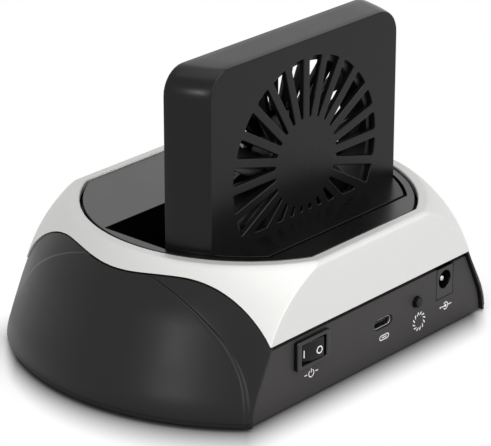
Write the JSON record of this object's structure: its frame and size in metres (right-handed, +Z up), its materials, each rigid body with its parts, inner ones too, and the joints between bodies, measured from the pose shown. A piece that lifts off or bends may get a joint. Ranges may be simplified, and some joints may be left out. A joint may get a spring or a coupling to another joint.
{
  "type": "hard drive docking station",
  "caption": "Low round-flanked dock that holds an upright hard drive in an open slot, with a flat fan tower behind it and a rear panel with switch, button and sockets.",
  "frame": {"origin": "centre of the body on the table top, under its four feet", "axes": "+X towards the right-hand cheek as seen from the front, +Y to the rear panel, +Z up"},
  "size_m": [0.1636, 0.1085, 0.1067],
  "materials": {
    "charcoal_plastic": "fine matt charcoal",
    "silver_paint": "satin silver paint on moulded plastic",
    "gloss_black_plastic": "polished black",
    "satin_black_plastic": "satin black",
    "clear_lens": "clear moulded lens",
    "rubber": "matt",
    "steel": "nickel plated",
    "magnet": "dull grey",
    "bronze": "sintered",
    "copper": "varnished wire",
    "circuit_board": "solder mask",
    "gold_plate": "plated",
    "aluminium_can": "bright can",
    "cream_plastic": "natural nylon",
    "red_insulation": "soft insulation",
    "black_insulation": "soft insulation",
    "white_insulation": "soft insulation"
  },
  "bodies": {
    "dock": {"base_plate": "charcoal_plastic", "side_cheek_right": "charcoal_plastic", "side_cheek_left": "charcoal_plastic", "top_shell": "silver_paint", "rear_panel": "charcoal_plastic", "front_panel": "charcoal_plastic", "status_led": "clear_lens", "rubber_feet": "rubber", "deck": "gloss_black_plastic", "drive_well": "satin_black_plastic", "tower_shell": "satin_black_plastic", "tower_front": "satin_black_plastic", "fan_frame": "satin_black_plastic", "fan_bearing": "bronze", "fan_stator": "magnet", "fan_windings": "copper", "fan_screws": "steel", "main_board": "circuit_board", "sata_socket": "satin_black_plastic", "sata_contacts": "gold_plate", "bridge_chip": "satin_black_plastic", "capacitors": "aluminium_can", "inductor": "magnet", "fan_header": "cream_plastic", "usb_c_socket": "steel", "usb_c_tongue": "satin_black_plastic", "dc_jack": "gloss_black_plastic", "dc_jack_pin": "steel", "switch_body": "gloss_black_plastic", "switch_terminals": "gold_plate", "button_switch": "satin_black_plastic", "fan_lead": "red_insulation", "switch_leads": "black_insulation", "led_leads": "white_insulation", "base_screws": "steel", "board_screws": "steel", "chassis_screws": "steel"},
    "fan": {"fan_rotor": "satin_black_plastic", "fan_shaft": "steel", "fan_magnet": "magnet"},
    "rocker": {"power_rocker": "satin_black_plastic"},
    "button": {"fan_button": "satin_black_plastic"}
  },
  "joints": [
    {"name": "fan_spin", "type": "hinge", "parent": "dock", "child": "fan", "pos_m": [0, 0.0178, 0.065], "axis": [0, 1, 0], "continuous": true},
    {"name": "rocker_tip", "type": "hinge", "parent": "dock", "child": "rocker", "pos_m": [0.0304, 0.0516, 0.0174], "axis": [0, 0, 1], "range_deg": [0, 26]},
    {"name": "button_press", "type": "slide", "parent": "dock", "child": "button", "axis": [0, -1, 0], "range_m": [0, 0.0008], "stiffness_N_per_m": 1500}
  ]
}
